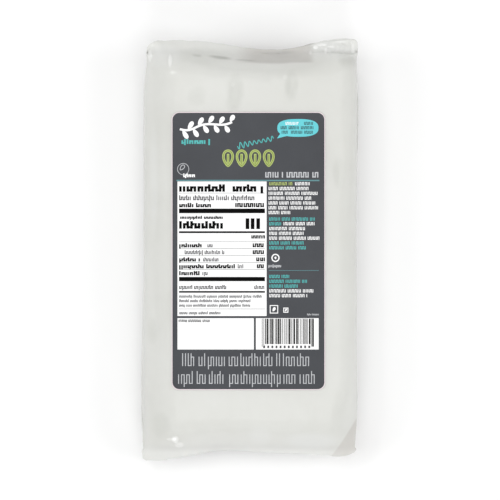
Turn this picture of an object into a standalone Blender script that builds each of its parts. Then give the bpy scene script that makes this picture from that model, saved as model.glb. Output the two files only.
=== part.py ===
# A block of cheese sealed in a film pouch, lying on its back with its printed label up.
# The pouch is one solid: the film lies tight on the block, so there is nothing loose inside.
# +X runs across the pack, +Y runs along it to the upper seal, and +Z runs up through the label.
# The origin is on the surface that the pack rests on, under the middle of the pack.
# Every size is in metres.

import math

import bmesh
import bpy
from mathutils import Vector
from mathutils.bvhtree import BVHTree

# Pack
HALF_WIDTH = 0.0650
PACK_LENGTH = 0.2548
PACK_THICKNESS = 0.0450
CROWN = 0.0012  # the face stands this much higher in its middle than beside its long edges
SIDE_BULGE = 0.0009  # the side walls stand this much further out at mid height than at the face
FACE_CORNER = 0.0095  # rounding between the face and the side walls
BACK_CORNER = 0.0075
FILM_HALF = 0.0005  # half the thickness of a flat seal

# Block under the film: where its face ends and where its ends meet the seals
FACE_TOP = 0.1105
SEAM_TOP = 0.1185
FACE_BOTTOM = -0.1075
SEAM_BOTTOM = -0.1200
NOSE_POWER = 2.3  # 2 gives an elliptic nose, more gives a squarer one

# The long edges seen from above, as (y, x), lower seal first
LEFT_EDGE = [(-0.127, -0.0651), (-0.092, -0.0657), (0.000, -0.0641), (0.094, -0.0642), (0.124, -0.0622)]
RIGHT_EDGE = [(-0.122, 0.0643), (-0.092, 0.0650), (-0.050, 0.0643), (0.040, 0.0645), (0.080, 0.0654)]

# The outer edges of the seals seen from above, as (x, y), left to right
TOP_EDGE = [(-0.061, 0.1256), (-0.043, 0.1267), (0.017, 0.1219), (0.056, 0.1274), (0.065, 0.1266)]
BOTTOM_EDGE = [(-0.060, -0.1276), (-0.014, -0.1217), (0.022, -0.1231), (0.055, -0.1249), (0.065, -0.1236)]
TOP_CORNERS = (0.0045, 0.0012)  # corner radii of the seal, left and right
BOTTOM_CORNERS = (0.0020, 0.0030)

# How high the seals lie, as (x, z), left to right: where they leave the block, and at their outer edge
TOP_SEAM_LEVEL = [(-0.062, 0.0345), (-0.038, 0.0300), (0.012, 0.0200), (0.036, 0.0240), (0.060, 0.0330)]
TOP_EDGE_LEVEL = [(-0.062, 0.0350), (-0.038, 0.0285), (0.014, 0.0120), (0.040, 0.0260), (0.062, 0.0370)]
BOTTOM_SEAM_LEVEL = [(-0.060, 0.0170), (-0.014, 0.0130), (0.030, 0.0160), (0.062, 0.0210)]
BOTTOM_EDGE_LEVEL = [(-0.060, 0.0130), (-0.014, 0.0070), (0.030, 0.0130), (0.062, 0.0190)]

# Film that runs straight from the face to a low corner: centre, radius, how soft the rim is, and the drop there
RIGHT_TENT = {"centre": (-0.1166, -0.0157), "radius": 0.1930, "rim": 0.0100, "drop": 0.0095, "side": 1}
LEFT_TENT = {"centre": (-0.0260, -0.0900), "radius": 0.0300, "rim": 0.0200, "drop": 0.0085, "side": -1}

# Dents where the film is drawn into the soft block: x, y, reach across, reach along, depth
DENTS = [
    (-0.0510, 0.1030, 0.0080, 0.0080, 0.0009),
    (-0.0060, 0.0985, 0.0040, 0.0075, 0.0010),
    (-0.0140, 0.0880, 0.0060, 0.0060, 0.0006),
    (0.0270, 0.0985, 0.0042, 0.0080, 0.0009),
    (0.0525, 0.0560, 0.0055, 0.0130, 0.0014),
    (-0.0610, 0.0520, 0.0050, 0.0090, 0.0012),
    (-0.0610, 0.0250, 0.0075, 0.0105, 0.0020),
    (-0.0615, -0.0500, 0.0080, 0.0110, 0.0030),
    (-0.0650, -0.0320, 0.0060, 0.0100, 0.0015),
    (0.0640, 0.0170, 0.0040, 0.0060, 0.0012),
    (-0.0160, -0.0950, 0.0080, 0.0050, 0.0004),
    (0.0160, -0.0955, 0.0070, 0.0060, 0.0004),
    (-0.0465, -0.1125, 0.0030, 0.0035, 0.0012),
]

# Folds of the side film beside each end of the block
FOLD_DEPTH = 0.0065
FOLD_REACH = 0.0300  # how far the fold runs along the side wall from the seam
FOLD_HALF_HEIGHT = 0.62  # the fold's lips, as a share of half the pack's thickness

# Label
LABEL_WIDTH = 0.0912
LABEL_LENGTH = 0.1656
LABEL_CENTRE = (-0.0008, -0.0004)
LABEL_CORNER = 0.0046
LABEL_THICKNESS = 0.0005
LABEL_GAP = 0.0004
LABEL_CELL = 0.0058

# Mesh
FACE_STEPS = 22
SIDE_STEPS = 6
CORNER_STEPS = 4
BODY_STEPS = 34
NOSE_STEPS = 8
SEAL_STEPS = 3
FLAT_WITHIN = 1e-7
ON_THE_WALL = 0.999

FILM_COLOUR = (0.74, 0.74, 0.71, 1.0)
LABEL_COLOUR = (0.091, 0.095, 0.102, 1.0)


def clear_scene():
    for old in list(bpy.data.objects):
        bpy.data.objects.remove(old, do_unlink=True)


def smooth(t):
    t = min(max(t, 0.0), 1.0)
    return t * t * (3.0 - 2.0 * t)


def eased(points, at):
    """A gentle wave through a few points, level at each of them and beyond the ends."""
    if at <= points[0][0]:
        return points[0][1]
    for (start, low), (end, high) in zip(points, points[1:]):
        if at <= end:
            return low + (high - low) * smooth((at - start) / (end - start))
    return points[-1][1]


def bell(offset, reach):
    return math.exp(-((offset / reach) ** 2))


def nose(t):
    """The share of its height that the block keeps at t from its face (0) to its seam (1)."""
    t = min(max(t, 0.0), 1.0)
    return max(1.0 - t**NOSE_POWER, 0.0) ** (1.0 / NOSE_POWER)


def rounded_off(edge, x, left, right, radii):
    """Pulls a seal's outer edge in where it runs into a rounded corner."""
    inwards = -1.0 if edge > 0 else 1.0
    for room, radius in ((x - left, radii[0]), (right - x, radii[1])):
        into = min(max(1.0 - room / radius, 0.0), 1.0)
        edge += inwards * radius * (1.0 - math.sqrt(1.0 - into * into))
    return edge


def tent(x, y, form):
    """How far the film hangs below the face over one of the block's lower corners."""
    across = max((x - form["centre"][0]) * form["side"], 0.0)
    along = max(form["centre"][1] - y, 0.0)
    beyond = math.hypot(across, along) - form["radius"]
    return form["drop"] * smooth(beyond / form["rim"] + 0.5)


def face_height(x, y):
    """The face of the pack, away from its seals."""
    height = PACK_THICKNESS - CROWN * (x / HALF_WIDTH) ** 2
    height -= sum(depth * bell(x - cx, rx) * bell(y - cy, ry) for cx, cy, rx, ry, depth in DENTS)
    return height - tent(x, y, RIGHT_TENT) - tent(x, y, LEFT_TENT)


def unit_section():
    """A rounded rectangle, -1 to 1 each way, anticlockwise seen from the lower seal."""
    half_height = PACK_THICKNESS / 2
    corners = [
        (1, -1, BACK_CORNER, -90, SIDE_STEPS),
        (1, 1, FACE_CORNER, 0, FACE_STEPS),
        (-1, 1, FACE_CORNER, 90, SIDE_STEPS),
        (-1, -1, BACK_CORNER, 180, FACE_STEPS),
    ]
    arcs = []
    for side, level, radius, start, _ in corners:
        arc = []
        for step in range(CORNER_STEPS + 1):
            angle = math.radians(start + 90 * step / CORNER_STEPS)
            across = side + (math.cos(angle) - side) * radius / HALF_WIDTH
            up = level + (math.sin(angle) - level) * radius / half_height
            arc.append((across, up))
        arcs.append(arc)
    section = []
    for arc, following, corner in zip(arcs, arcs[1:] + arcs[:1], corners):
        section += arc
        (x0, z0), (x1, z1) = arc[-1], following[0]
        steps = corner[4]
        for step in range(1, steps):
            section.append((x0 + (x1 - x0) * step / steps, z0 + (z1 - z0) * step / steps))
    return section


def stations():
    """Where the rings lie along the pack: the stretch they are on, and how far along it."""
    rings = [("lower seal", step / SEAL_STEPS) for step in range(SEAL_STEPS)]
    rings += [("lower nose", math.cos(math.pi / 2 * step / NOSE_STEPS)) for step in range(NOSE_STEPS)]
    rings += [("body", step / BODY_STEPS) for step in range(BODY_STEPS)]
    rings += [("upper nose", math.sin(math.pi / 2 * step / NOSE_STEPS)) for step in range(NOSE_STEPS)]
    rings += [("upper seal", step / SEAL_STEPS) for step in range(SEAL_STEPS + 1)]
    return rings


def pack_point(across, up, stretch, t):
    """One point of the pouch, from its place on the section and along the pack."""
    rough_y = {
        "lower seal": SEAM_BOTTOM,
        "lower nose": FACE_BOTTOM,
        "body": FACE_BOTTOM + (FACE_TOP - FACE_BOTTOM) * t,
        "upper nose": FACE_TOP,
        "upper seal": SEAM_TOP,
    }[stretch]
    if stretch == "lower seal":
        rough_y = -PACK_LENGTH / 2 * (1 - t) + SEAM_BOTTOM * t
    if stretch == "upper seal":
        rough_y = PACK_LENGTH / 2 * t + SEAM_TOP * (1 - t)
    left, right = eased(LEFT_EDGE, rough_y), eased(RIGHT_EDGE, rough_y)
    end = max(min(rough_y - SEAM_BOTTOM, SEAM_TOP - rough_y), 0.0)
    waist = SIDE_BULGE * up * up * smooth(end / FOLD_REACH)
    x = (left + right) / 2 + across * ((right - left) / 2 - waist)

    top_edge = rounded_off(eased(TOP_EDGE, x), x, left, right, TOP_CORNERS)
    bottom_edge = rounded_off(eased(BOTTOM_EDGE, x), x, left, right, BOTTOM_CORNERS)
    seam_top, seam_bottom = eased(TOP_SEAM_LEVEL, x), eased(BOTTOM_SEAM_LEVEL, x)
    top_lip, bottom_lip = eased(TOP_EDGE_LEVEL, x), eased(BOTTOM_EDGE_LEVEL, x)
    share, level = 1.0, 0.0
    if stretch == "lower seal":
        y = bottom_edge + (SEAM_BOTTOM - bottom_edge) * t
        share, level = 0.0, bottom_lip + (seam_bottom - bottom_lip) * t
    elif stretch == "lower nose":
        y = FACE_BOTTOM + (SEAM_BOTTOM - FACE_BOTTOM) * t
        share, level = nose(t), seam_bottom
    elif stretch == "body":
        y = rough_y
    elif stretch == "upper nose":
        y = FACE_TOP + (SEAM_TOP - FACE_TOP) * t
        share, level = nose(t), seam_top
    else:
        y = SEAM_TOP + (top_edge - SEAM_TOP) * t
        share, level = 0.0, seam_top + (top_lip - seam_top) * t
    half = FILM_HALF * (1.0 - share)

    face = level + half + (face_height(x, y) - level - half) * share
    back = (level - half) * (1.0 - share)
    z = back + (face - back) * (up + 1) / 2

    if abs(across) > ON_THE_WALL:
        end = max(min(y - SEAM_BOTTOM, SEAM_TOP - y), 0.0)
        crease = max(1.0 - abs(up) / FOLD_HALF_HEIGHT, 0.0)
        depth = FOLD_DEPTH * crease * max(1.0 - end / FOLD_REACH, 0.0) ** 2
        x -= math.copysign(depth * share**0.5, across)
    return x, y, z


def make_material(name, colour, roughness, metallic=0.0):
    material = bpy.data.materials.new(name)
    material.use_nodes = True
    shader = material.node_tree.nodes["Principled BSDF"]
    shader.inputs["Base Color"].default_value = colour
    shader.inputs["Roughness"].default_value = roughness
    shader.inputs["Metallic"].default_value = metallic
    return material


def add_object(name, mesh, material):
    made = bpy.data.objects.new(name, mesh)
    bpy.context.scene.collection.objects.link(made)
    mesh.materials.append(material)
    return made


def close_end(shape, ring, facing):
    """Closes the open edge of a flat seal: quads between its two faces, and one face at each side."""
    wall = SIDE_STEPS + 2 * CORNER_STEPS
    right = ring[: wall + 1]
    upper = ring[wall : wall + FACE_STEPS + 1]
    left = ring[wall + FACE_STEPS : 2 * wall + FACE_STEPS + 1]
    lower = [ring[0]] + ring[: 2 * wall + FACE_STEPS - 1 : -1]
    faces = [right, left]
    for k in range(FACE_STEPS):
        faces.append([lower[k], upper[k], upper[k + 1], lower[k + 1]])
    for face in faces:
        shape.faces.new(face[::facing])


def make_pack():
    section = unit_section()
    shape = bmesh.new()
    rings = []
    for stretch, t in stations():
        rings.append([shape.verts.new(pack_point(across, up, stretch, t)) for across, up in section])
    for ring, following in zip(rings, rings[1:]):
        for k in range(len(ring)):
            n = (k + 1) % len(ring)
            shape.faces.new((ring[k], following[k], following[n], ring[n]))
    close_end(shape, rings[0], 1)
    close_end(shape, rings[-1], -1)
    underside = [face for face in shape.faces if max(vert.co.z for vert in face.verts) < FLAT_WITHIN]
    bmesh.ops.dissolve_faces(shape, faces=underside, use_verts=True)
    mesh = bpy.data.meshes.new("film_pack")
    shape.to_mesh(mesh)
    shape.free()
    mesh.shade_smooth()
    mesh.set_sharp_from_angle(angle=math.radians(50))
    return add_object("film_pack", mesh, make_material("sealed film", FILM_COLOUR, 0.28))


def cut_into_cells(shape, normal, low, high):
    """Cuts the flat label into strips, so that it can follow the face of the pack."""
    count = math.ceil((high - low) / LABEL_CELL)
    for step in range(1, count):
        at = low + (high - low) * step / count
        everything = shape.verts[:] + shape.edges[:] + shape.faces[:]
        point = [at * n for n in normal]
        bmesh.ops.bisect_plane(shape, geom=everything, plane_co=point, plane_no=normal, dist=1e-5)


def make_label(pack):
    cx, cy = LABEL_CENTRE
    shape = bmesh.new()
    bmesh.ops.create_grid(shape, x_segments=1, y_segments=1, size=0.5)
    bmesh.ops.scale(shape, vec=(LABEL_WIDTH, LABEL_LENGTH, 1.0), verts=shape.verts)
    bmesh.ops.translate(shape, vec=(cx, cy, 0.0), verts=shape.verts)
    bmesh.ops.bevel(shape, geom=shape.verts[:], offset=LABEL_CORNER, segments=6, profile=0.5, affect="VERTICES")
    cut_into_cells(shape, (1, 0, 0), cx - LABEL_WIDTH / 2, cx + LABEL_WIDTH / 2)
    cut_into_cells(shape, (0, 1, 0), cy - LABEL_LENGTH / 2, cy + LABEL_LENGTH / 2)
    corners = [vert.co for vert in pack.data.vertices]
    film = BVHTree.FromPolygons(corners, [face.vertices for face in pack.data.polygons])
    for vert in shape.verts:
        above = Vector((vert.co.x, vert.co.y, 2 * PACK_THICKNESS))
        landed = film.ray_cast(above, Vector((0, 0, -1)))[0]
        vert.co.z = landed.z + LABEL_GAP
    raised = bmesh.ops.extrude_face_region(shape, geom=shape.faces[:])
    lifted = [item for item in raised["geom"] if isinstance(item, bmesh.types.BMVert)]
    bmesh.ops.translate(shape, vec=(0.0, 0.0, LABEL_THICKNESS), verts=lifted)
    bmesh.ops.recalc_face_normals(shape, faces=shape.faces)
    mesh = bpy.data.meshes.new("label")
    shape.to_mesh(mesh)
    shape.free()
    mesh.shade_smooth()
    mesh.set_sharp_from_angle(angle=math.radians(40))
    return add_object("label", mesh, make_material("printed label", LABEL_COLOUR, 0.45))


clear_scene()
make_label(make_pack())
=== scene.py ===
import math
import random

import bpy
import numpy as np
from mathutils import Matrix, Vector, noise
from mathutils.bvhtree import BVHTree


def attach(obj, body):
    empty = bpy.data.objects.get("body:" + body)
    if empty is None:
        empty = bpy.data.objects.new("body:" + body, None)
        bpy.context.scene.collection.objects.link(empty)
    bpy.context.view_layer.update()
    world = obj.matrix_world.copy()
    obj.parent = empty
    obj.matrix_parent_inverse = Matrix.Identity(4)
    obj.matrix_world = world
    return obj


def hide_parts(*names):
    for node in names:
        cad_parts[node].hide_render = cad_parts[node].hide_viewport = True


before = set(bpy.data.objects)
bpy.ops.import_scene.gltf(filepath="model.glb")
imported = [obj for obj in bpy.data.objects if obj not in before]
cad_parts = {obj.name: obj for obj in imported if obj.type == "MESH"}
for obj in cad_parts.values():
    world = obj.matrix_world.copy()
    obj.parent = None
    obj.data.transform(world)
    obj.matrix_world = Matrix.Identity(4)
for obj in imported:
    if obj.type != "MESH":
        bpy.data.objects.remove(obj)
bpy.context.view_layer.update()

mm = 0.001


# Working on one piece at a time

def pick(*pieces):
    if bpy.context.object and bpy.context.object.mode != "OBJECT":
        bpy.ops.object.mode_set(mode="OBJECT")
    bpy.ops.object.select_all(action="DESELECT")
    for piece in pieces:
        piece.select_set(True)
    bpy.context.view_layer.objects.active = pieces[0]


def edit(piece, elements="FACE"):
    pick(piece)
    bpy.ops.object.mode_set(mode="EDIT")
    bpy.ops.mesh.select_mode(type=elements)


def leaveEdit():
    bpy.ops.object.mode_set(mode="OBJECT")


def chooseFaces(piece, wanted):  # leaves exactly the wanted faces selected, in edit mode
    edit(piece)
    bpy.ops.mesh.select_all(action="DESELECT")
    leaveEdit()
    for face in piece.data.polygons:
        face.select = bool(wanted(face))
    bpy.ops.object.mode_set(mode="EDIT")


def apply(piece, kind, name, **settings):
    pick(piece)
    modifier = piece.modifiers.new(name, kind)
    for key, value in settings.items():
        setattr(modifier, key, value)
    bpy.ops.object.modifier_apply(modifier=name)


def settle(piece):  # the object goes to the origin and its place into its mesh
    pick(piece)
    bpy.ops.object.transform_apply(location=True, rotation=True, scale=True)


def emptyPiece(name):
    piece = bpy.data.objects.new(name, bpy.data.meshes.new(name))
    bpy.context.scene.collection.objects.link(piece)
    return piece


def smoothPiece(piece, degrees):
    pick(piece)
    bpy.ops.object.shade_smooth_by_angle(angle=math.radians(degrees))


def finishPiece(piece, material):
    piece.data.materials.clear()
    piece.data.materials.append(material)
    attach(piece, "root")


def readPoints(piece):
    points = np.empty(len(piece.data.vertices) * 3)
    piece.data.vertices.foreach_get("co", points)
    return points.reshape(-1, 3)


def readNormals(piece):
    normals = np.empty(len(piece.data.vertices) * 3)
    piece.data.vertex_normals.foreach_get("vector", normals)
    return normals.reshape(-1, 3)


def writePoints(piece, points):
    piece.data.vertices.foreach_set("co", points.ravel())
    piece.data.update()


# Materials

class Wire:  # a node's output that Python's own signs work on
    def __init__(self, finish, socket):
        self.finish = finish
        self.socket = socket

    def maths(self, operation, first, second):
        return self.finish.node("Math", {"operation": operation}, {0: first, 1: second})

    def __add__(self, other):
        return self.maths("ADD", self, other)

    def __radd__(self, other):
        return self.maths("ADD", other, self)

    def __sub__(self, other):
        return self.maths("SUBTRACT", self, other)

    def __rsub__(self, other):
        return self.maths("SUBTRACT", other, self)

    def __mul__(self, other):
        return self.maths("MULTIPLY", self, other)

    def __rmul__(self, other):
        return self.maths("MULTIPLY", other, self)


class Finish:  # one material while it is being made
    def __init__(self, name):
        self.material = bpy.data.materials.new(name)
        self.material.use_nodes = True
        self.tree = self.material.node_tree
        self.tree.nodes.clear()

    def node(self, kind, settings=None, sockets=None, output=0):
        made = self.tree.nodes.new("ShaderNode" + kind)
        for key, value in (settings or {}).items():
            setattr(made, key, value)
        for key, value in (sockets or {}).items():
            if isinstance(value, Wire):
                self.tree.links.new(value.socket, made.inputs[key])
            else:
                made.inputs[key].default_value = value
        return Wire(self, made.outputs[output])

    def place(self):
        return self.node("TexCoord", output="Object")

    def grain(self, scale, detail=3.0, roughness=0.55, stretch=(1, 1, 1), offset=(0, 0, 0)):
        spot = self.node("Mapping", None, {"Vector": self.place(), "Scale": stretch, "Location": offset})
        sockets = {"Vector": spot, "Scale": scale, "Detail": detail, "Roughness": roughness}
        return self.node("TexNoise", None, sockets)

    def between(self, value, low, high, toLow=0.0, toHigh=1.0):  # a soft ramp from low to high
        sockets = {"Value": value, "From Min": low, "From Max": high, "To Min": toLow, "To Max": toHigh}
        return self.node("MapRange", {"interpolation_type": "SMOOTHSTEP"}, sockets)

    def blend(self, share, first, second):
        return self.node("Mix", {"data_type": "RGBA"}, {"Factor": share, 6: first, 7: second}, output=2)

    def bump(self, height, depth, normal=None):
        sockets = {"Height": height, "Strength": 1.0, "Distance": depth}
        if normal:
            sockets["Normal"] = normal
        return self.node("Bump", None, sockets)

    def surface(self, sockets):
        shader = self.node("BsdfPrincipled", None, sockets)
        self.tree.nodes.new("ShaderNodeOutputMaterial")
        self.tree.links.new(shader.socket, self.tree.nodes["Material Output"].inputs["Surface"])
        return self.material


# The film, from the solid that it stands for

filmPlan = {
    "underside rings": (3.0 * mm, 6.0 * mm),  # widths of the rings of faces round the flat underside
    "column": 2.0 * mm,  # each end is measured in columns of this width
    "end depth": 0.4 * mm,  # and over this depth from its edge
    "rim top": 106.5 * mm,  # where the face starts to fall towards each end
    "rim bottom": 101.0 * mm,
    "rim band": 1.6 * mm,
    "bend top": 1.5,  # 1 is a straight slope, and more falls later
    "bend bottom": 2.4,
    "steep part": (-14 * mm, 36 * mm),  # here the upper end drops steeply
    "spanning part": (-30 * mm, 39 * mm),  # and outside these the film spans the corner
    "steep easing": 0.6,  # 1 eases in and out, 0 is a straight slope
    "ironed ends": {  # each pair of places is where the smoothing starts and where it is full
        "rounds": 40, "along": (107 * mm, 112 * mm), "tip": (126 * mm, 122 * mm), "up": (6 * mm, 12 * mm),
    },
    "round rims": {"rounds": 24, "above": 8 * mm},
    "round corners": {
        "rounds": 10, "across": (57 * mm, 60 * mm), "along": (99 * mm, 104 * mm), "up": (8 * mm, 14 * mm),
    },
    "seam top": 118.5 * mm,
    "seam bottom": -120.0 * mm,
    "pleat height": 0.30 * mm,  # tension pleats where the film runs into a seal
    "pleat reach": 9.0 * mm,
    "pleat fade": 2.2,
    "pleat wander": (0.12, 21 * mm),  # how far they bend aside on the way in, and how often
    "pleat middle": 0.35,  # share of the height that is left at the middle of the pack
    "pleat full": 60 * mm,  # this far out they have their whole height
    "pleat waves": 6,
    "pleat lengths": (7, 19),
    "slack height": 0.35 * mm,  # slow unevenness of the film over the whole face
    "slack length": 26 * mm,
    "crumple height": 1.3 * mm,  # the crushed corner beside the upper seal
    "crumple middle": (50.0 * mm, 121.5 * mm),
    "crumple reach": (15.0 * mm, 7.0 * mm),
    "crumple cell": 3.4 * mm,
    "crumple level": 0.3,  # facets lower than this go below the film, and the others above it
    "flat height": 4 * mm,  # below this the shape fades out, so that the underside stays flat
    "folds": [  # from, to, half width, height: narrow ridges and grooves pressed in the film
        ((-25.0, 116.8), (-11.0, 114.9), 0.8, -0.60),
        ((-34.0, 117.0), (-29.0, 116.3), 0.8, -0.40),
        ((-4.0, 114.3), (4.0, 113.9), 0.7, -0.30),
        ((-60.0, 119.6), (-59.6, 114.2), 0.8, 1.00),
        ((-47.4, 117.0), (-48.0, 110.2), 0.8, 1.00),
        ((-45.8, -109.0), (-43.9, -115.0), 0.8, 1.00),
        ((-46.5, -112.6), (-41.5, -117.6), 0.9, 0.90),
        ((-43.0, -111.0), (-40.8, -115.6), 0.7, 0.60),
        ((36.5, 122.4), (41.2, 124.0), 0.6, 0.70),
        ((42.4, 124.4), (44.2, 120.8), 0.5, 0.80),
        ((60.6, 124.0), (63.2, 118.6), 0.7, 0.60),
    ],
    "shadeStreaks": [  # from, to, half width, strength: painted shade, dark lines and bands along folds and edges, all but level across the pack
        ((-35.5, 117.1), (-28.0, 116.4), 1.4, 0.30),
        ((-26.5, 116.8), (-9.0, 114.8), 1.2, 0.55),
        ((-11.0, 114.6), (5.0, 114.0), 0.9, 0.40),
        ((4.0, 119.9), (31.0, 119.5), 1.9, 0.38),
        ((12.0, 117.6), (33.0, 116.4), 2.6, 0.16),
        ((18.0, 121.4), (42.0, 125.1), 0.9, 0.70),
        ((41.0, 125.3), (64.0, 127.0), 0.5, 0.50),
        ((51.0, 114.6), (67.0, 113.2), 5.0, 0.22),
    ],
    "sheens": [  # middle, reach across and along, strength: painted highlights, pale patches where the light lies on the film
        ((6.0, -111.5), (5.0, 4.5), 0.35),
        ((36.0, -114.5), (11.0, 4.0), 0.6),
        ((-57.5, 42.0), (2.0, 22.0), 0.4),
        ((-52.0, 116.0), (8.0, 5.0), 0.4),
        ((50.0, 120.5), (12.0, 5.0), 0.4),
    ],
    "glints": [  # the same, as painted highlights: small bright glints on creased and crushed film
        ((-44.6, -113.3), (1.4, 1.5), 0.50),
        ((-44.9, -113.0), (0.7, 0.7), 0.40),
        ((-42.2, -116.8), (1.9, 1.3), 0.35),
        ((-47.2, -113.2), (1.8, 0.6), 0.25),
        ((-59.9, 116.9), (0.9, 2.4), 0.30),
        ((-47.7, 113.6), (0.8, 2.8), 0.40),
        ((39.6, 122.2), (1.1, 0.9), 0.60),
        ((43.4, 123.6), (2.2, 0.7), 0.50),
        ((45.6, 119.8), (0.8, 1.5), 0.45),
        ((49.0, 122.4), (1.8, 0.7), 0.35),
        ((54.5, 125.2), (3.0, 0.6), 0.35),
        ((61.8, 121.2), (0.8, 2.2), 0.30),
        ((36.4, 118.8), (0.7, 1.0), 0.30),
        ((-10.3, 99.0), (0.9, 1.1), 0.10),
        ((21.0, 103.5), (1.1, 1.1), 0.12),
    ],
    "dents": [  # middle, reach across and along, depth: soft hollows, which the finish also paints darker as shade
        ((-27.0, 117.0), (11.0, 3.8), 0.5),
        ((58.5, 114.0), (3.8, 4.0), 0.5),
        ((-8.6, 96.0), (3.6, 7.5), 0.8),
        ((25.0, 98.5), (2.8, 6.0), 0.8),
        ((-31.5, 92.0), (4.2, 4.2), 0.6),
        ((-10.5, 88.0), (3.0, 3.5), 0.5),
        ((-58.2, -48.5), (3.0, 6.0), 0.6),
        ((53.5, 46.0), (2.5, 6.5), 0.5),
        ((-57.5, 30.5), (2.6, 5.0), 0.4),
        ((-53.0, -104.0), (4.0, 5.0), 0.6),
    ],
    "gap": {  # painted shade between the broken edge of the block and the upper seal
        "along": (111.4 * mm, 113.4 * mm), "right": (40.0 * mm, 34.5 * mm), "left": (-12 * mm, 6 * mm),
    },
    # painted shade over the lower corner where the block is missing
    "corner cut": {"across": 0.84, "along": 0.54, "from": 107.8 * mm, "to": 109.2 * mm},
    "colours": {
        # clear and milky are the film's own tone; the hollows' colour, gap, corner and streak are painted
        # shade; sheen and glint are painted highlights
        "clear": (0.715, 0.720, 0.686, 1), "milky": (0.760, 0.765, 0.738, 1), "hollowShade": (0.64, 0.65, 0.615, 1),
        "gap": (0.60, 0.58, 0.545, 1), "corner": (0.61, 0.59, 0.555, 1), "shadeStreak": (0.33, 0.33, 0.31, 1),
        "sheen": (0.80, 0.81, 0.80, 1), "glint": (0.97, 0.97, 0.96, 1),
    },
    "thin": 0.74,  # how much the film hides where it is clear and where it is milky
    "thick": 0.80,
    "roughness": (0.34, 0.46),
}


def squareUp(shell):
    # The underside is one flat face, and the rest goes back from triangles to quads.
    edit(shell)
    bpy.ops.mesh.select_all(action="SELECT")
    bpy.ops.mesh.remove_doubles(threshold=0.01 * mm)
    chooseFaces(shell, lambda face: face.center.z < 0.01 * mm and face.normal.z < -0.9)
    bpy.ops.mesh.dissolve_faces()
    for width in filmPlan["underside rings"]:
        bpy.ops.mesh.inset(thickness=width)
    chooseFaces(shell, lambda face: face.center.z > 0.01 * mm)
    bpy.ops.mesh.tris_convert_to_quads(face_threshold=math.radians(60), shape_threshold=math.radians(60))
    leaveEdit()


def ramp(values, start, end):  # from 0 at start to 1 at end, easing in and out
    share = np.clip((values - start) / (end - start), 0, 1)
    return share * share * (3 - 2 * share)


def endCurve(points, outward):
    # how far along and how high the film's end edge is, for every point by its place across the pack
    x, y, z = points.T
    across = (x - x.min()) / filmPlan["column"]
    column = np.round(across).astype(int)
    steps = np.arange(column.max() + 1)
    reach = np.full(len(steps), -1.0)
    np.maximum.at(reach, column, y * outward)
    height = np.zeros(len(steps))
    atEdge = y * outward > reach[column] - filmPlan["end depth"]
    np.maximum.at(height, column[atEdge], z[atEdge])
    return np.interp(across, steps, reach), np.interp(across, steps, height)


def rimCurve(points, normals, outward, rim):
    # how high the film lies where it starts to fall, for every point by its place across the pack
    near = (np.abs(points[:, 1] * outward - rim) < filmPlan["rim band"]) & (normals[:, 2] > 0.1)
    x, z = points[near, 0], points[near, 2]
    order = np.argsort(x)
    return np.interp(points[:, 0], x[order], z[order])


def spanEnds(shell):
    # The film runs in one sweep from the face to its end edges, but for the steep part of the upper end.
    plan = filmPlan
    points = readPoints(shell)
    normals = readNormals(shell)
    x, y, z = points.T.copy()
    (steepLow, steepHigh), (spanLow, spanHigh) = plan["steep part"], plan["spanning part"]
    sweeping = np.maximum(ramp(x, steepLow, spanLow), ramp(x, steepHigh, spanHigh))
    notSide = ramp(np.abs(normals[:, 0]), 0.9, 0.5)
    for outward, end in ((1, "top"), (-1, "bottom")):
        rim, bend = plan["rim " + end], plan["bend " + end]
        reach, height = endCurve(points, outward)
        face = rimCurve(points, normals, outward, rim)
        along = np.clip((y * outward - rim) / (reach - rim), 0, 1)
        fall = along**bend
        if outward > 0:
            steep = plan["steep easing"] * ramp(along, 0, 1) + (1 - plan["steep easing"]) * along
            fall = fall * sweeping + steep * (1 - sweeping)
        sweep = face - (face - height) * fall
        upper = (along > 0) & (z > height - plan["end depth"]) & (normals[:, 2] > -0.2)
        lowered = height + (z - height) * (1 - fall)  # a side wall comes down in the same share
        z[upper] = (sweep * notSide + np.minimum(z, lowered) * (1 - notSide))[upper]
    points[:, 2] = z
    writePoints(shell, points)


def smoothWhere(shell, weights, rounds):
    group = shell.vertex_groups.new(name="smoothed")
    for index in np.nonzero(weights > 0.01)[0]:
        group.add([int(index)], float(weights[index]), "REPLACE")
    apply(shell, "SMOOTH", "smooth some", vertex_group="smoothed", factor=0.8, iterations=rounds)
    shell.vertex_groups.clear()


def soften(shell):
    # The ends are ironed out, then all the rims of the face get rounder, and the upper corners rounder still.
    ends, rims, corners = filmPlan["ironed ends"], filmPlan["round rims"], filmPlan["round corners"]
    x, y, z = np.abs(readPoints(shell)).T
    weights = ramp(y, *ends["along"]) * ramp(y, *ends["tip"]) * ramp(z, *ends["up"])
    smoothWhere(shell, weights, ends["rounds"])

    z = readPoints(shell)[:, 2]
    up = readNormals(shell)[:, 2]
    smoothWhere(shell, np.clip((up - 0.12) * 2.5, 0, 1) * (z > rims["above"]), rims["rounds"])

    x, y, z = readPoints(shell).T
    weights = ramp(np.abs(x), *corners["across"]) * ramp(y, *corners["along"]) * ramp(z, *corners["up"])
    smoothWhere(shell, weights, corners["rounds"])


def ridge(points, start, end, width, height):
    # how far a straight fold lifts each point of the upper film
    start, end = np.array(start) * mm, np.array(end) * mm
    along = end - start
    share = np.clip(((points[:, :2] - start) @ along) / (along @ along), 0, 1)
    away = np.linalg.norm(points[:, :2] - start - share[:, None] * along, axis=1)
    taper = np.sin(np.pi * np.clip(share, 0.06, 0.94)) ** 0.5
    return height * mm * taper * np.exp(-((away / (width * mm)) ** 2))


def hollow(points, middle, reach, depth):
    across = (points[:, 0] / mm - middle[0]) / reach[0]
    along = (points[:, 1] / mm - middle[1]) / reach[1]
    return -depth * mm * np.exp(-(across**2 + along**2))


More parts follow.
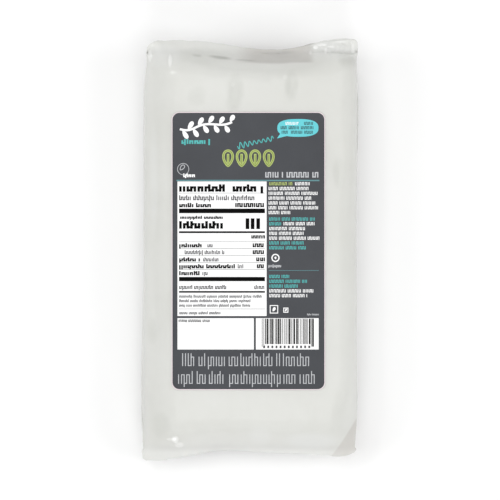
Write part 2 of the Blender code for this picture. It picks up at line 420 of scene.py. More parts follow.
def pleats(x, dice, waves, shortest, longest):
    # uneven waves across the pack with sharp tops, between -1 and 1
    total = np.zeros_like(x)
    for _ in range(waves):
        length = dice.uniform(shortest, longest) * mm
        total += np.sin(2 * np.pi * (x / length + dice.random()))
    return np.sign(total) * np.abs(total / waves**0.5) ** 0.8 / 1.4


def facets(points, cell):
    # flat-sided pyramids between sharp valleys, as in crushed film
    spots = [Vector((p[0] * 1.15, p[1], p[2] * 0.25)) / cell for p in points]
    noise.seed_set(7)  # noise_vector is seeded by the clock otherwise
    found = [noise.voronoi(spot + noise.noise_vector(spot * 0.8) * 0.35)[0] for spot in spots]
    return np.array([distances[1] - distances[0] for distances in found])


def shapeFilm(shell):
    plan = filmPlan
    dice = random.Random(7)
    points = readPoints(shell)
    normals = readNormals(shell)
    x, y, z = points.T
    lift = np.zeros(len(points))

    wander, swing = plan["pleat wander"]
    for seam, outward in ((plan["seam top"], 1), (plan["seam bottom"], -1)):
        inside = (seam - y) * outward
        near = np.exp(-np.clip(inside, 0, None) / plan["pleat reach"] * plan["pleat fade"])
        sides = np.clip(np.abs(x) / plan["pleat full"], 0, 1)
        near *= plan["pleat middle"] + (1 - plan["pleat middle"]) * sides
        place = x + wander * inside * np.sin(x / swing + seam)
        lift += plan["pleat height"] * near * pleats(place, dice, plan["pleat waves"], *plan["pleat lengths"])

    slow = [noise.noise(Vector(p) / plan["slack length"]) for p in points]
    lift += plan["slack height"] * np.array(slow)

    cx, cy = plan["crumple middle"]
    rx, ry = plan["crumple reach"]
    crush = np.exp(-(((x - cx) / rx) ** 2 + ((y - cy) / ry) ** 2) ** 1.5)
    rise = plan["crumple height"] * crush * (facets(points, plan["crumple cell"]) - plan["crumple level"])

    upper = np.clip(normals[:, 2] * 3, 0, 1)
    for start, end, width, height in plan["folds"]:
        lift += upper * ridge(points, start, end, width, height)
    for middle, reach, depth in plan["dents"]:
        lift += upper * hollow(points, middle, reach, depth)

    flat = np.clip(z / plan["flat height"], 0, 1)
    points += normals * (lift * flat)[:, None]
    points[:, 2] += rise * (normals[:, 2] > -0.2) * flat
    points[:, 2] = np.maximum(points[:, 2], 0)
    writePoints(shell, points)


def makeFilm():
    shell = bpy.data.objects.new("filmShell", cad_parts["film_pack"].data.copy())
    bpy.context.scene.collection.objects.link(shell)
    squareUp(shell)
    apply(shell, "SUBSURF", "rounding", levels=2, render_levels=2)
    spanEnds(shell)
    soften(shell)
    return shell


def refineCorner(shell):
    # smaller faces where the film is crushed
    cx, cy = filmPlan["crumple middle"]
    rx, ry = filmPlan["crumple reach"]

    def crushed(face):
        return abs(face.center.x - cx) < 1.25 * rx and abs(face.center.y - cy) < 1.3 * ry

    chooseFaces(shell, crushed)
    bpy.ops.mesh.subdivide(number_cuts=1)
    leaveEdit()


def filmFinish():
    plan = filmPlan
    colours = plan["colours"]
    finish = Finish("milkyFilm")
    cloud = finish.grain(28, 4)
    patch = finish.grain(11, 2, offset=(3, 1, 2))
    haze = finish.between(cloud * 0.5 + patch * 0.5, 0.22, 0.78)
    colour = finish.blend(haze, colours["clear"], colours["milky"])
    x, y, z = (finish.node("SeparateXYZ", None, {"Vector": finish.place()}, output=axis) for axis in "XYZ")
    upper = finish.between(z, 15 * mm, 19 * mm)  # marks keep to the upper side

    def nearness(middle, reach, ragged):  # 1 at the middle of a round mark, 0 outside it
        across = (x - middle[0] * mm) * (1 / (reach[0] * mm))
        along = (y - middle[1] * mm) * (1 / (reach[1] * mm))
        return finish.between(across * across + along * along + (cloud - 0.5) * ragged, 3.0, 0.0) * upper

    def level(start, end, width):  # the same for a mark that runs all but level
        slope = (end[1] - start[1]) / (end[0] - start[0])
        line = x * slope + (start[1] - slope * start[0]) * mm
        away = finish.node("Math", {"operation": "ABSOLUTE"}, {0: y - line})
        fade = (end[0] - start[0]) * 0.35  # it thins out towards both its ends
        ends = finish.between(x, start[0] * mm, (start[0] + fade) * mm)
        ends = ends * finish.between(x, end[0] * mm, (end[0] - fade) * mm)
        return finish.between(away + (cloud - 0.5) * (1.6 * width * mm), width * mm, 0.0) * ends * upper

    # Painted shade: the film is darker in the hollows, and where it stands off the block, along the broken
    # upper edge and at one lower corner, where the brine behind it lies in shadow.
    for middle, reach, depth in plan["dents"]:
        colour = finish.blend(nearness(middle, reach, 4.0) * (0.8 * depth), colour, colours["hollowShade"])
    # painted shade in the band by the broken upper edge
    drift = (cloud - 0.5) * (4 * mm)
    gap = finish.between(y + drift, *plan["gap"]["along"]) * finish.between(x + drift, *plan["gap"]["right"])
    gap = gap * finish.between(x + drift * 2.0, *plan["gap"]["left"])
    colour = finish.blend(gap * finish.between(patch, 0.3, 0.7, 0.8, 1.0), colour, colours["gap"])
    # painted shade along folds, creases and the fins' edges
    for start, end, width, strength in plan["shadeStreaks"]:
        colour = finish.blend(level(start, end, width) * strength, colour, colours["shadeStreak"])
    # painted highlights
    for middle, reach, strength in plan["sheens"]:
        colour = finish.blend(nearness(middle, reach, 2.0) * strength, colour, colours["sheen"])
    # painted highlights: small bright glints on creased film
    paintedGlints = 0.0
    for middle, reach, strength in plan["glints"]:
        paintedGlints = nearness(middle, reach, 5.0) * strength + paintedGlints
    colour = finish.blend(paintedGlints, colour, colours["glint"])
    # painted shade over the lower corner where the block is missing
    cut = plan["corner cut"]
    corner = finish.between(x * cut["across"] - y * cut["along"], cut["from"], cut["to"])
    colour = finish.blend(corner * 0.8, colour, colours["corner"])

    # The seals and the painted glints hide more than the film does elsewhere, and the painted shade of the
    # gap hides less.
    seal = finish.between(finish.node("Math", {"operation": "ABSOLUTE"}, {0: y}), 118 * mm, 123 * mm)
    alpha = finish.between(haze, 0, 1, plan["thin"], plan["thick"]) - gap * 0.1 + seal * 0.15 + paintedGlints * 0.2
    skin = finish.bump(finish.grain(420, 2), 0.02 * mm)
    drawn = finish.bump(finish.grain(60, 3, stretch=(1, 0.35, 1)), 0.2 * mm, skin)
    return finish.surface({
        "Base Color": colour, "Roughness": finish.between(cloud, 0.3, 0.7, *plan["roughness"]),
        "Alpha": alpha, "Normal": drawn, "IOR": 1.45, "Coat Weight": 0.6, "Coat Roughness": 0.12,
    })


film = makeFilm()
print("film squared up:", len(film.data.polygons), "faces")


# The block inside: shorter than the film where its upper end is broken off, and with one lower corner gone

blockPlan = {
    "inset": 1.7 * mm,  # the film stands this far off the block
    "outline": [  # millimetres, anticlockwise from the lower left, before the inset
        (-75, -113.5), (-61, -119.0), (-40, -120.2), (34, -121.1), (51.9, -122.7),
        (57.9, -114.8), (62.1, -108.2), (65.5, -100.9), (69.6, -86.5), (75, -60),  # the missing corner
        (75, 114), (65, 115.8), (58, 121.2), (38.9, 123.2),
        (37.7, 114.1), (22, 113.7), (2, 114.7), (-24, 117.9), (-38, 120.1), (-75, 120.7),  # the broken edge
    ],
    "depth": 80 * mm,
    "voxel": 1.4 * mm,
    "pit depth": 0.5 * mm,
}


def makeBlock(shell):
    plan = blockPlan
    block = bpy.data.objects.new("cheeseBlock", shell.data.copy())
    bpy.context.scene.collection.objects.link(block)
    apply(block, "REMESH", "even skin", mode="VOXEL", voxel_size=plan["voxel"])

    bpy.ops.mesh.primitive_circle_add(vertices=len(plan["outline"]), radius=0.1, fill_type="NGON")
    outline = bpy.context.object
    outline.name = "blockOutline"
    for vert, (x, y) in zip(outline.data.vertices, plan["outline"]):
        vert.co = (x * mm, y * mm, -10 * mm)
    edit(outline)
    bpy.ops.mesh.select_all(action="SELECT")
    bpy.ops.mesh.extrude_region_move(TRANSFORM_OT_translate={"value": (0, 0, plan["depth"])})
    bpy.ops.mesh.select_all(action="SELECT")
    bpy.ops.mesh.normals_make_consistent(inside=False)
    leaveEdit()
    apply(block, "BOOLEAN", "cut to outline", operation="INTERSECT", object=outline)
    bpy.data.objects.remove(outline)
    apply(block, "REMESH", "even cut faces", mode="VOXEL", voxel_size=plan["voxel"])
    apply(block, "SMOOTH", "soft edges", factor=0.5, iterations=4)
    writePoints(block, readPoints(block) - readNormals(block) * plan["inset"])

    points = readPoints(block)
    normals = readNormals(block)
    pits = np.array([noise.turbulence(Vector(p) / (7 * mm), 3, False) for p in points])
    writePoints(block, points - normals * (plan["pit depth"] * np.clip(pits - 0.1, 0, 1))[:, None])
    return block


def cheeseFinish():
    finish = Finish("whiteCheese")
    curd = finish.grain(90, 5)
    stain = finish.grain(18, 3, offset=(1, 4, 2))
    colour = finish.blend(finish.between(stain, 0.3, 0.7), (0.80, 0.797, 0.74, 1), (0.85, 0.847, 0.80, 1))
    # painted shade: darker where the curd bump sinks into holes
    holeShade = finish.between(curd, 0.30, 0.42)
    colour = finish.blend(holeShade, (0.74, 0.725, 0.665, 1), colour)
    return finish.surface({
        "Base Color": colour,
        "Roughness": finish.between(curd, 0.3, 0.7, 0.42, 0.62),
        "Normal": finish.bump(curd, 0.4 * mm),
    })


block = makeBlock(film)
finishPiece(block, cheeseFinish())
smoothPiece(block, 60)
print("block cut:", len(block.data.polygons), "faces")

refineCorner(film)
shapeFilm(film)
finishPiece(film, filmFinish())
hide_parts("film_pack")
smoothPiece(film, 60)
print("film drawn over it:", len(film.data.polygons), "faces")


# The label: white stock, and a charcoal field printed almost to its edge

labelPlan = {
    "width": 91.7 * mm,
    "height": 166.0 * mm,
    "middle": (-0.85 * mm, -0.4 * mm),
    "corner": 4.6 * mm,
    "cell": 2.0 * mm,
    "gap": 0.15 * mm,  # between the film and the stock
    "thickness": 0.30 * mm,
    "margin": 0.5 * mm,  # pale stock left round the printed field
    "ink": 0.03 * mm,  # thickness of one printed layer
    "printed from": (-46.4 * mm, 82.4 * mm),  # the upper left point that printed places are measured from
}


def roundedSheet(name, margin=0.0):  # a flat sheet in cells, as large as the label but for a margin
    plan = labelPlan
    cx, cy = plan["middle"]
    width, height = plan["width"] - 2 * margin, plan["height"] - 2 * margin
    bpy.ops.mesh.primitive_plane_add(size=1, location=(cx, cy, 0))
    sheet = bpy.context.object
    sheet.name = name
    sheet.scale = (width, height, 1)
    settle(sheet)
    edit(sheet, "VERT")
    bpy.ops.mesh.select_all(action="SELECT")
    bpy.ops.mesh.bevel(offset=plan["corner"] - margin, segments=10, profile=0.5, affect="VERTICES")
    for normal, middle, size in (((1, 0, 0), cx, width), ((0, 1, 0), cy, height)):
        count = round(size / plan["cell"])
        for step in range(1, count):
            at = middle - size / 2 + size * step / count
            bpy.ops.mesh.select_all(action="SELECT")
            bpy.ops.mesh.bisect(plane_co=[at * n for n in normal], plane_no=normal)
    leaveEdit()
    return sheet


def surfaceUnder(piece):
    points = [vert.co.copy() for vert in piece.data.vertices]
    tree = BVHTree.FromPolygons(points, [face.vertices[:] for face in piece.data.polygons])
    return lambda x, y: tree.ray_cast(Vector((x, y, 0.2)), Vector((0, 0, -1)))[0].z


def drape(piece, heightAt, lift=0.0):
    points = readPoints(piece)
    points[:, 2] += [heightAt(x, y) + lift for x, y, z in points]
    writePoints(piece, points)


filmTop = surfaceUnder(film)
stock = roundedSheet("labelStock")
apply(stock, "SOLIDIFY", "stock", thickness=labelPlan["thickness"], offset=1)
drape(stock, filmTop, labelPlan["gap"])
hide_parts("label")
stockTop = surfaceUnder(stock)


def paperFinish():
    finish = Finish("labelStockEdge")
    fibre = finish.grain(600, 3, stretch=(1, 0.4, 1))
    colour = finish.blend(fibre, (0.72, 0.62, 0.65, 1), (0.80, 0.72, 0.74, 1))
    return finish.surface({"Base Color": colour, "Roughness": 0.6, "Normal": finish.bump(fibre, 0.02 * mm)})


def inkFinish(name, colour, roughness, drift=0.06, gloss=0.22):
    finish = Finish(name)
    tooth = finish.grain(900, 2)
    cast = finish.grain(35, 3, offset=(2, 5, 1))
    low = tuple(c * (1 - drift) for c in colour) + (1,)
    high = tuple(min(c * (1 + drift), 1) for c in colour) + (1,)
    return finish.surface({
        "Base Color": finish.blend(finish.between(cast, 0.3, 0.7), low, high),
        "Roughness": finish.between(tooth, 0.3, 0.7, roughness - 0.05, roughness + 0.05),
        "Normal": finish.bump(tooth, 0.015 * mm),
        "Specular IOR Level": gloss,
    })


inks = {  # linear colours of what is printed
    "charcoal": inkFinish("charcoalInk", (0.061, 0.0645, 0.072), 0.42),
    "white": inkFinish("whiteInk", (0.93, 0.93, 0.93), 0.45, 0.01),
    "black": inkFinish("blackInk", (0.002, 0.002, 0.002), 0.50, gloss=0.05),
    "grey": inkFinish("greyInk", (0.08, 0.08, 0.085), 0.45, gloss=0.08),
    "silver": inkFinish("silverInk", (0.52, 0.53, 0.55), 0.42),
    "teal": inkFinish("tealInk", (0.09, 0.44, 0.43), 0.42),
    "lime": inkFinish("limeInk", (0.42, 0.50, 0.16), 0.42),
    "callout": inkFinish("calloutInk", (0.135, 0.59, 0.645), 0.42),
    "rule": inkFinish("ruleInk", (0.12, 0.27, 0.29), 0.42),
    "slate": inkFinish("slateInk", (0.05, 0.11, 0.12), 0.42),
    "olive": inkFinish("oliveInk", (0.20, 0.26, 0.06), 0.42),
}
finishPiece(stock, paperFinish())
smoothPiece(stock, 30)

field = roundedSheet("charcoalField", labelPlan["margin"])
apply(field, "SOLIDIFY", "ink", thickness=labelPlan["ink"], offset=1)
drape(field, stockTop, labelPlan["ink"])
finishPiece(field, inks["charcoal"])
smoothPiece(field, 30)
print("label laid on the film")


# What is printed on the label: rows of plain strokes where wording would be, bars, frames and small marks.
# Places are millimetres from the label's left and top edges.

printPlan = {
    "layers": {  # how many layers of ink above the stock each ink lies
        "white": 3, "teal": 3, "lime": 3, "silver": 3, "callout": 3, "rule": 3,
        "olive": 5, "slate": 5, "black": 5, "grey": 5,
    },
    "cell": 2.0,  # long shapes are cut into faces of about this size, so that they follow the label
    "panel": (3.2, 41.3, 56.4, 121.6),
    "date box": (3.2, 122.9, 48.8, 141.6),
    "code box": (50.0, 122.9, 87.5, 141.6),
    "head rule": (2.6, 40.3, 88.0, 41.1),
    "column rule": (57.8, 94.3, 87.6, 94.55),
    "bars": ((57.5, 2.7), (71.0, 1.1), (98.3, 2.5), (106.7, 1.0)),  # top and thickness
    "hairlines": (48.1, 77.2, 81.3, 85.5, 89.6, 93.7, 117.3),
    "hairline": 0.2,
    "table sides": (4.1, 55.4),
    "column pitch": 2.87,
    "column row": 1.9,
    "frame line": 0.5,
    "foot row": 7.6,
}
boxes = {ink: [] for ink in printPlan["layers"]}  # left, top, right, bottom of everything straight, by ink
ribbons = {ink: [] for ink in printPlan["layers"]}  # middle line and width of everything curved, by ink
fills = {ink: [] for ink in printPlan["layers"]}  # closed outline of every filled shape, by ink

strokeStyles = {  # stroke and pitch as shares of the row's height, strokes in a word, and if all are as high
    "heavy": {"stroke": 0.345, "pitch": 0.50, "word": (7, 14), "even": False},
    "light": {"stroke": 0.205, "pitch": 0.36, "word": (6, 13), "even": False},
    "caps": {"stroke": 0.22, "pitch": 0.44, "word": (6, 13), "even": True},
    "number": {"stroke": 0.34, "pitch": 0.50, "word": (20, 30), "even": True},
    "tall": {"stroke": 0.068, "pitch": 0.215, "word": (5, 9), "even": False},
}
strokeHabits = {
    "low strokes": 0.26,  # share of the row's height that they leave free above
    "tall strokes": 0.2,  # chances of a stroke that is tall, deep, or joined to the next
    "deep strokes": 0.08,
    "joined": 0.72,
    "depth": 0.25,
    "joint": 0.9,
    "uneven": 0.08,
    "word gap": 0.9,
}


def strokeRow(ink, style, left, right, middle, height):
    # upright strokes joined in turn above and below, which read as a row of small type from a distance
    form, habits = strokeStyles[style], strokeHabits
    stroke, pitch = form["stroke"] * height, form["pitch"] * height
    top, foot = middle - height / 2, middle + height / 2
    line = top if form["even"] else top + habits["low strokes"] * height
    x = left
    while x + stroke < right:
        count = dice.randint(*form["word"])
        for k in range(count):
            if x + stroke > right + 0.05:
                break
            tall = not form["even"] and dice.random() < habits["tall strokes"]
            deep = not form["even"] and dice.random() < habits["deep strokes"]
            bottom = foot + (habits["depth"] * height if deep else 0)
            boxes[ink].append((x, top if tall else line, x + stroke, bottom))
            if k < count - 1 and dice.random() < habits["joined"] and x + pitch + stroke < right:
                level = line if k % 2 else foot - stroke
                boxes[ink].append((x + stroke, level, x + pitch, level + stroke * habits["joint"]))
            x += pitch * dice.uniform(1 - habits["uneven"], 1 + habits["uneven"])
        x += pitch * habits["word gap"]


def wavyLine(start, end, waves, swing, count=90):
    # a hand-drawn wave from start to end, with its swing across the way it runs
    (x0, y0), (x1, y1) = start, end
    length = math.hypot(x1 - x0, y1 - y0)
    ax, ay = (x1 - x0) / length, (y1 - y0) / length
    line = []
    for step in range(count + 1):
        t = step / count
        side = swing * math.sin(2 * math.pi * waves * t) * (0.75 + 0.25 * math.cos(5 * t))
        line.append((x0 + ax * length * t - ay * side, y0 + ay * length * t + ax * side))
    return line


def ringLine(cx, cy, radius, count=40):
    turns = [2 * math.pi * step / count for step in range(count + 1)]
    return [(cx + radius * math.cos(turn), cy + radius * math.sin(turn)) for turn in turns]


def leafLine(cx, cy, length, width, lean, count=28):
    # the outline of an almond leaf, leaning by some degrees from upright
    line = []
    for step in range(count + 1):
        turn = 2 * math.pi * step / count
        across = width / 2 * math.sin(turn) * abs(math.sin(turn / 2)) ** 0.6
        up = -length / 2 * math.cos(turn)
        c, s = math.cos(math.radians(lean)), math.sin(math.radians(lean))
        line.append((cx + across * c + up * s, cy + across * s - up * c))
    return line


def roundedOblong(cx, cy, reachX, reachY, squareness, count=48):
    line = []
    for step in range(count + 1):
        turn = 2 * math.pi * step / count
        c, s = math.cos(turn), math.sin(turn)
        across, along = math.copysign(abs(c) ** squareness, c), math.copysign(abs(s) ** squareness, s)
        line.append((cx + reachX * across, cy + reachY * along))
    return line


def smallFrame(ink, cx, cy, side):  # four sides of a square, with a leaf inside
    line = printPlan["frame line"]
    left, right = cx - side / 2 + 0.3, cx + side / 2 - 0.3
    top, bottom = cy - side / 2 + 0.3, cy + side / 2 - 0.3
    boxes[ink] += [
        (left, top, right, top + line), (left, bottom - line, right, bottom),
        (left, top + line, left + line, bottom - line), (right - line, top + line, right, bottom - line),
    ]
    fills[ink].append(leafLine(cx, cy, side * 0.5, side * 0.35, 30))


def printPanel():  # the table of figures: bars, hairlines and rows
    plan = printPlan
    left, right = plan["table sides"]
    for top, thickness in plan["bars"]:
        boxes["black"].append((left, top, right, top + thickness))
    for top in plan["hairlines"]:
        boxes["grey"].append((left, top, right, top + plan["hairline"]))
    for row in (  # ink, style, left, right, middle, height
        ("black", "heavy", 4.2, 33.3, 45.2, 4.4), ("black", "heavy", 36.1, 54.4, 45.2, 4.4),
        ("grey", "light", 4.2, 49.4, 51.0, 3.0),
        ("black", "heavy", 4.2, 25.2, 55.4, 2.6), ("black", "number", 37.7, 55.5, 55.4, 2.5),
        ("black", "heavy", 4.8, 30.2, 62.7, 1.9),
        ("black", "heavy", 4.2, 33.1, 67.2, 4.5), ("black", "number", 43.9, 55.2, 66.5, 6.4),
        ("black", "number", 47.3, 55.6, 74.4, 1.9),
        ("grey", "light", 4.2, 33.0, 104.3, 2.5), ("grey", "light", 49.1, 55.4, 104.3, 2.5),
        ("grey", "light", 4.1, 54.5, 109.8, 1.7),
        ("grey", "light", 4.1, 46.9, 112.5, 1.7),
        ("grey", "light", 4.1, 46.6, 115.2, 1.7),
        ("grey", "light", 4.3, 29.3, 119.7, 1.8),
        ("black", "caps", 3.9, 22.9, 124.5, 1.5),
    ):
        strokeRow(*row)
    for middle, boldEnd, lightEnd, figure in (  # the rows with a bold part, a light part and a figure
        (79.4, 19.9, 24.7, 48.1), (83.5, None, 31.4, 48.1), (87.8, 17.3, 28.4, 50.2),
        (91.9, 38.0, 42.8, 50.6), (96.0, 16.9, 21.6, None),
    ):
        if boldEnd:
            strokeRow("black", "heavy", 4.2, boldEnd, middle, 2.5)
        strokeRow("grey", "light", boldEnd + 1.2 if boldEnd else 7.5, lightEnd, middle, 2.4)
        if figure:
            strokeRow("black", "number", figure, 55.5, middle, 2.3)


def printColumn():  # beside the panel: blocks of rows and small marks
    pitch, height = printPlan["column pitch"], printPlan["column row"]
    for ink, left, first, ends in (  # where the block and its first row lie, and where each row ends
        ("lime", 58.0, 42.6, (71.9,)),
        ("white", 57.6, 45.5, (81.6, 87.1, 83.1, 85.5, 87.1, 71.3)),
        ("teal", 58.0, 63.7, (85.2, 65.3)),
        ("white", 58.0, 69.4, (79.8, 79.2, 88.0)),
        ("teal", 58.0, 78.0, (78.6, 80.1)),
        ("teal", 58.0, 98.0, (70.6, 81.1, 75.3)),
        ("white", 58.0, 106.6, (84.9, 81.0)),
    ):
        for k, right in enumerate(ends):
            strokeRow(ink, "caps", left, right, first + pitch * k, height)
    strokeRow("white", "caps", 73.4, 83.4, 42.6, height)
    strokeRow("white", "caps", 66.5, 85.5, 66.5, height)
    strokeRow("silver", "light", 57.5, 65.9, 91.6, 1.8)
    strokeRow("silver", "light", 80.6, 87.9, 120.6, 1.1)
    boxes["rule"].append(printPlan["column rule"])
    ribbons["white"].append((ringLine(61.7, 86.9, 2.1), 0.7))
    fills["white"].append(leafLine(61.7, 86.9, 1.5, 1.5, 0))
    smallFrame("white", 60.8, 117.6, 5.6)
    smallFrame("white", 67.9, 118.1, 3.6)


sprigPlan = {
    "stem": ((4.6, 10.0), (35.8, 5.8), 1.5, 1.4),  # from, to, waves and swing
    "stem width": 1.3,
    "leaves": 10,
    "leaf": (5.8, 3.3),
    "shorter": 0.14,  # each leaf than the one before
    "beside": (1.0, 2.7),
    "leans": (148, 32),
}


def printSprig():
    plan = sprigPlan
    stem = wavyLine(*plan["stem"])
    ribbons["white"].append((stem, plan["stem width"]))
    length, width = plan["leaf"]
    for k in range(plan["leaves"]):
        x, y = stem[6 + 9 * k]
        side = 1 if k % 2 else -1
        cx, cy = x + plan["beside"][0], y - plan["beside"][1] * side
        fills["white"].append(leafLine(cx, cy, length - plan["shorter"] * k, width, plan["leans"][k % 2]))


leafRowPlan = {
    "leaves": 4,
    "left": 33.4,
    "middle": 27.4,
    "pitch": 8.1,
    "length": 9.0,
    "width": 6.6,
    "rim": 1.5,
    "line": 0.35,
}


def printLeafRow():
    plan = leafRowPlan
    for k in range(plan["leaves"]):
        cx, cy = plan["left"] + plan["pitch"] * k, plan["middle"]
        edge = leafLine(cx, cy, plan["length"], plan["width"], 0)
        ribbons["lime"].append((edge, plan["rim"]))
        boxes["lime"].append((cx - 0.75, cy - 2.6, cx + 0.75, cy + 3.6))
        boxes["olive"].append((cx - 0.2, cy - 2.0, cx + 0.2, cy + 3.4))
        ribbons["olive"].append((edge, plan["line"]))


def printBalloon():  # a full oblong with a small tail, and rows inside
    fills["callout"].append(roundedOblong(75.1, 9.3, 12.3, 5.3, 0.76))
    fills["callout"].append([(62.6, 15.6), (65.2, 11.8), (69.0, 14.0), (62.6, 15.6)])
    strokeRow("white", "caps", 67.7, 77.6, 6.6, 1.7)
    strokeRow("slate", "caps", 78.8, 84.0, 6.6, 1.8)
    for left, right, middle in (
        (64.8, 68.4, 9.2), (69.6, 75.6, 9.2), (76.9, 84.7, 9.2), (65.4, 69.6, 11.9), (71.0, 84.5, 11.9),
    ):
        strokeRow("slate", "caps", left, right, middle, 1.8)


def printHead():  # above the panel: a sprig, a wave, four leaves, a ring and a speech balloon
    printSprig()
    strokeRow("teal", "heavy", 5.6, 23.0, 17.4, 2.9)
    ribbons["teal"].append((wavyLine((39.0, 20.2), (60.6, 15.6), 8, 1.9, 160), 0.55))
    printLeafRow()
    ribbons["silver"] += [(ringLine(6.6, 33.9, 3.4), 0.35), (leafLine(6.0, 33.0, 3.6, 2.4, 40), 0.45)]
    strokeRow("white", "heavy", 6.6, 14.3, 37.6, 2.2)
    strokeRow("silver", "caps", 55.6, 67.1, 37.3, 3.3)
    strokeRow("silver", "caps", 68.3, 88.0, 37.3, 3.3)
    printBalloon()


def printFoot():  # two rows of tall thin strokes, word by word
    for middle, words in (
        (147.7, (
            (6.0, 20.2), (21.4, 32.6), (33.8, 39.5), (40.8, 53.5),
            (54.4, 61.0), (62.2, 65.3), (66.2, 73.4), (74.6, 82.2),
        )),
        (158.3, (
            (3.6, 20.8), (22.0, 33.2), (34.1, 39.8), (41.0, 53.8),
            (54.4, 61.3), (62.6, 65.6), (66.5, 77.0), (78.2, 85.6),
        )),
    ):
        for left, right in words:
            strokeRow("silver", "tall", left, right, middle, printPlan["foot row"])


codePlan = {
    "left": 53.6,
    "module": 0.33,
    "modules": 92,
    "bars": (1, 1, 2, 3),  # widths to draw from, in modules
    "gaps": (1, 1, 2),
    "top": 123.2,
    "foot": 138.4,
    "guards": (54.6, 82.6, 139.9),  # outside these two places the bars reach further down
    "squares": 12,
    "square": (54.4, 139.3, 1.1, 1.5),  # left and top of the first, width and height
    "square pitch": 2.45,
}


def printCode():
    plan = codePlan
    firstGuard, lastGuard, guardFoot = plan["guards"]
    x = plan["left"]
    while x < plan["left"] + plan["modules"] * plan["module"]:
        width = plan["module"] * dice.choice(plan["bars"])
        foot = guardFoot if x < firstGuard or x > lastGuard else plan["foot"]
        boxes["black"].append((x, plan["top"], x + width, foot))
        x += width + plan["module"] * dice.choice(plan["gaps"])
    left, top, width, height = plan["square"]
    for k in range(plan["squares"]):
        at = left + plan["square pitch"] * k
        boxes["grey"].append((at, top, at + width, top + height))


dice = random.Random(11)
boxes["white"] += [printPlan["panel"], printPlan["date box"], printPlan["code box"]]
boxes["rule"].append(printPlan["head rule"])
printPanel()
printColumn()
printHead()
printFoot()
printCode()


def onLabel(x, y):
    left, top = labelPlan["printed from"]
    return left + x * mm, top - y * mm


def addBox(left, top, right, bottom):  # in edit mode, adds to the piece being edited
    middle = (*onLabel((left + right) / 2, (top + bottom) / 2), 0)
    across = max(1, math.ceil((right - left) / printPlan["cell"]))
    along = max(1, math.ceil((bottom - top) / printPlan["cell"]))
    bpy.ops.mesh.primitive_grid_add(x_subdivisions=across, y_subdivisions=along, size=1, location=middle)
    size = ((right - left) * mm, (bottom - top) * mm, 1)
    bpy.ops.transform.resize(value=size, center_override=middle)


def addRibbon(piece, line, width):  # a strip of even width along a line
    count = len(line) - 1
    before = len(piece.data.vertices)
    edit(piece)
    bpy.ops.mesh.primitive_grid_add(x_subdivisions=count, y_subdivisions=1, size=1, location=(0, 0, 0))
    leaveEdit()
    closed = math.dist(line[0], line[-1]) < 1e-6
    if closed:
        line = [line[-2]] + line + [line[1]]
    else:
        line = [line[0]] + line + [line[-1]]
    for vert in piece.data.vertices[before:]:
        step = round((vert.co.x + 0.5) * count)
        behind, here, ahead = line[step:step + 3]
        run = math.dist(behind, ahead)
        side = width / 2 * (1 if vert.co.y > 0 else -1)
        x = here[0] + (ahead[1] - behind[1]) / run * side
        y = here[1] - (ahead[0] - behind[0]) / run * side
        vert.co = (*onLabel(x, y), 0)


def addFill(piece, line):  # a filled shape inside a closed line
    count = len(line) - 1
    before = len(piece.data.vertices)
    edit(piece)
    bpy.ops.mesh.primitive_circle_add(vertices=count, radius=1, fill_type="TRIFAN", location=(0, 0, 0))
    leaveEdit()
    middle = np.mean(line[:-1], axis=0)
    for vert in piece.data.vertices[before:]:
        turn = math.atan2(vert.co.y, vert.co.x) / (2 * math.pi) % 1
        spot = middle if vert.co.length < 0.5 else line[round(turn * count) % count]
        vert.co = (*onLabel(*spot), 0)


def upright(piece):  # every printed face looks up
    edit(piece)
    bpy.ops.mesh.select_all(action="SELECT")
    bpy.ops.mesh.normals_make_consistent(inside=False)
    chooseFaces(piece, lambda face: face.normal.z < 0)
    bpy.ops.mesh.flip_normals()
    leaveEdit()


for ink, layer in printPlan["layers"].items():
    sheet = emptyPiece(ink + "Print")
    edit(sheet)
    for box in boxes[ink]:
        addBox(*box)
    leaveEdit()
    for line, width in ribbons[ink]:
        addRibbon(sheet, line, width)
    for line in fills[ink]:
        addFill(sheet, line)
    upright(sheet)
    apply(sheet, "SOLIDIFY", "ink", thickness=labelPlan["ink"], offset=1)
    drape(sheet, stockTop, labelPlan["ink"] * layer)
    finishPiece(sheet, inks[ink])
    print("printed", ink + ":", len(boxes[ink]) + len(ribbons[ink]) + len(fills[ink]), "shapes")


# Stage

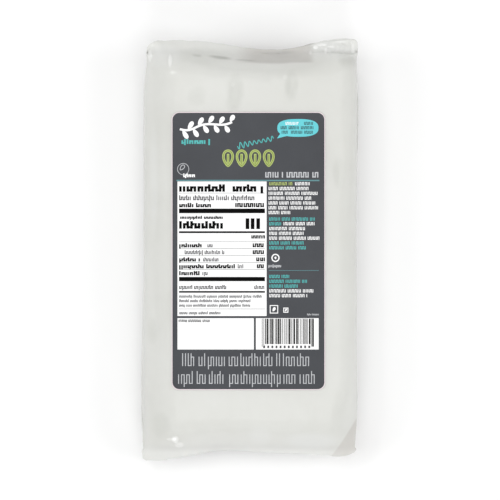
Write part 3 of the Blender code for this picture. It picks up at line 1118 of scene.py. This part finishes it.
stagePlan = {
    "floor": 3.0,
    "lens": 250,
    "frame width": 0.300,  # what the picture spans, at this height above the floor
    "frame height": 35 * mm,
    "frame middle": (0.1 * mm, 0.2 * mm),
    "softboxes": [  # name, place, width, power, and whether the film mirrors it
        ("topLight", (0, 0, 1.9), 1.2, 5.2, True),
        ("nearLight", (0.1, -1.3, 1.1), 0.9, 5.8, False),
        ("lowLight", (0.1, -1.5, 0.5), 0.7, 2.5, False),
        ("farLight", (-0.2, 1.3, 0.9), 0.9, 4.2, False),
        ("rightLight", (1.3, 0, 0.9), 0.9, 7.6, False),
        ("leftLight", (-1.3, 0, 0.9), 0.9, 6.9, False),
        ("sparkLight", (-0.75, 0.6, 1.6), 0.25, 2.2, True),
    ],
    "sky": 0.47,
}


def softbox(name, location, size, power, reflected):
    bpy.ops.object.light_add(type="AREA", location=location)
    lamp = bpy.context.object
    lamp.name = name
    lamp.data.shape = "RECTANGLE"
    lamp.data.size, lamp.data.size_y = size
    lamp.data.energy = power
    lamp.rotation_euler = (-Vector(location)).to_track_quat("-Z", "Y").to_euler()
    lamp.visible_glossy = reflected


def makeStage():
    bpy.ops.mesh.primitive_plane_add(size=stagePlan["floor"], location=(0, 0, -0.2 * mm))
    floor = bpy.context.object
    floor.name = "floor"
    finish = Finish("paleFloor")
    tone = finish.blend(finish.grain(3, 2), (0.90, 0.90, 0.90, 1), (0.92, 0.92, 0.92, 1))
    floor.data.materials.append(finish.surface({"Base Color": tone, "Roughness": 0.9}))

    for name, location, width, power, reflected in stagePlan["softboxes"]:
        softbox(name, location, (width, width), power, reflected)
    world = bpy.data.worlds.new("studio")
    world.use_nodes = True
    world.node_tree.nodes["Background"].inputs["Color"].default_value = (1, 1, 1, 1)
    world.node_tree.nodes["Background"].inputs["Strength"].default_value = stagePlan["sky"]
    bpy.context.scene.world = world

    lens, sensor = stagePlan["lens"], 36
    height = stagePlan["frame height"] + stagePlan["frame width"] * lens / sensor
    bpy.ops.object.camera_add(location=(*stagePlan["frame middle"], height), rotation=(0, 0, 0))
    camera = bpy.context.object
    camera.data.lens = lens
    camera.data.clip_end = 20
    bpy.context.scene.camera = camera
    bpy.context.scene.view_settings.view_transform = "Standard"


makeStage()
print("stage set")
